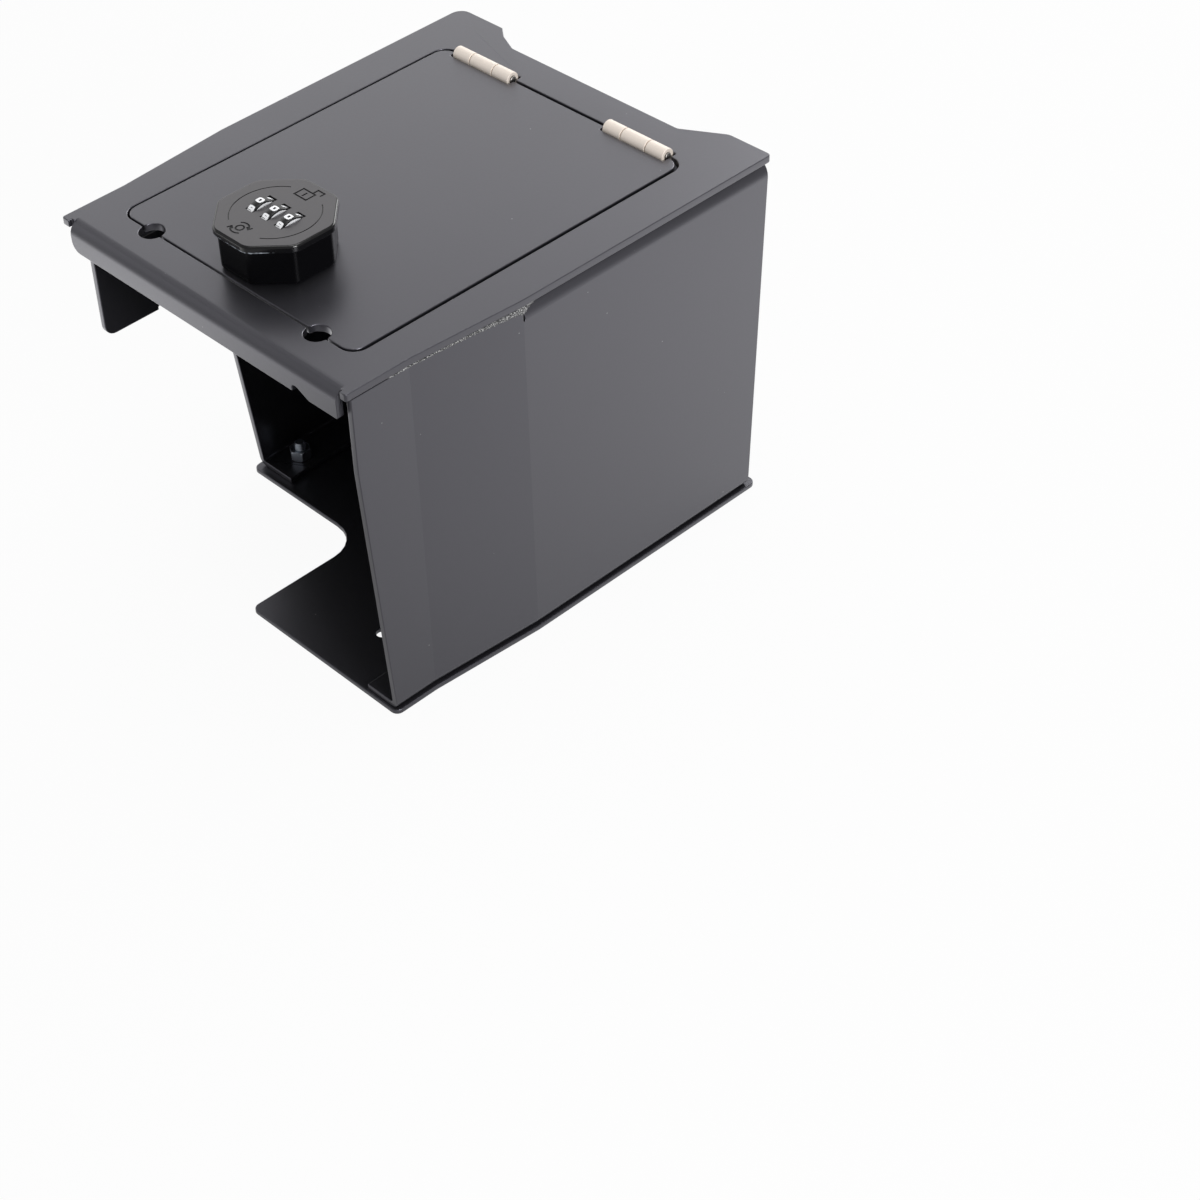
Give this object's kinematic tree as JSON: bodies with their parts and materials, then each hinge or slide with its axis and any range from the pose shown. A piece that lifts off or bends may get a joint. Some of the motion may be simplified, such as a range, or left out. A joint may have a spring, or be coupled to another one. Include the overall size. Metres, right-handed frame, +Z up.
{
  "type": "console safe",
  "caption": "Folded sheet-steel console safe with a flush hinged lid, combination knob with dial wheels, open front and corner cut-out.",
  "frame": {"origin": "centre of the overall footprint on the underside of the floor plate", "axes": "+Z up through the lid and knob, +Y from the open front to the hinged rear, +X to the right-hand side seen from the front"},
  "size_m": [0.164, 0.2014, 0.169],
  "materials": {
    "black_powder_coat": "fine-textured satin black powder coat",
    "hinge_nickel": "bright nickel plate",
    "zinc_plated_steel": "blue zinc plate",
    "black_enamel": "gloss black stove enamel over a zinc casting",
    "wheel_black": "moulded black with white numerals",
    "code_disc_white": "moulded white",
    "die_cast_zinc": "bright die casting",
    "spring_steel": "drawn and rolled steel"
  },
  "bodies": {
    "frame": {"top_plate": "black_powder_coat", "right_side_panel": "black_powder_coat", "left_side_panel": "black_powder_coat", "rear_panel": "black_powder_coat", "floor_plate": "black_powder_coat", "left_lid_stop": "black_powder_coat", "right_lid_stop": "black_powder_coat", "floor_screw_1": "zinc_plated_steel", "floor_screw_2": "zinc_plated_steel", "floor_screw_3": "zinc_plated_steel", "floor_screw_4": "zinc_plated_steel", "floor_nut_1": "zinc_plated_steel", "floor_nut_2": "zinc_plated_steel", "floor_nut_3": "zinc_plated_steel", "floor_nut_4": "zinc_plated_steel", "left_hinge_knuckle_left": "hinge_nickel", "left_hinge_knuckle_right": "hinge_nickel", "left_hinge_pin": "hinge_nickel", "right_hinge_knuckle_left": "hinge_nickel", "right_hinge_knuckle_right": "hinge_nickel", "right_hinge_pin": "hinge_nickel"},
    "lid": {"lid": "black_powder_coat", "left_hinge_lid_knuckle": "hinge_nickel", "right_hinge_lid_knuckle": "hinge_nickel", "lock_barrel": "die_cast_zinc", "lock_washer": "zinc_plated_steel", "lock_nut": "zinc_plated_steel"},
    "knob": {"knob_body": "black_enamel", "knob_cap": "black_enamel", "dial_axle": "spring_steel", "locking_slide": "spring_steel", "detent_spring": "spring_steel", "cam_bar": "zinc_plated_steel", "cam_screw": "zinc_plated_steel"},
    "left_dial": {"left_dial_wheel": "wheel_black", "left_code_disc": "code_disc_white"},
    "middle_dial": {"middle_dial_wheel": "wheel_black", "middle_code_disc": "code_disc_white"},
    "right_dial": {"right_dial_wheel": "wheel_black", "right_code_disc": "code_disc_white"}
  },
  "joints": [
    {"name": "lid_hinge", "type": "hinge", "parent": "frame", "child": "lid", "pos_m": [-0.00075, 0.0748, 0.1505], "axis": [-1, 0, 0], "range_deg": [0, 170]},
    {"name": "knob_turn", "type": "hinge", "parent": "lid", "child": "knob", "pos_m": [-0.00115, -0.0611, 0.1505], "axis": [0, 0, -1], "range_deg": [0, 90]},
    {"name": "left_dial_turn", "type": "hinge", "parent": "knob", "child": "left_dial", "pos_m": [-0.0089, -0.0611, 0.1614], "axis": [1, 0, 0], "continuous": true},
    {"name": "middle_dial_turn", "type": "hinge", "parent": "knob", "child": "middle_dial", "pos_m": [-0.00115, -0.0611, 0.1614], "axis": [1, 0, 0], "continuous": true},
    {"name": "right_dial_turn", "type": "hinge", "parent": "knob", "child": "right_dial", "pos_m": [0.0066, -0.0611, 0.1614], "axis": [1, 0, 0], "continuous": true}
  ]
}
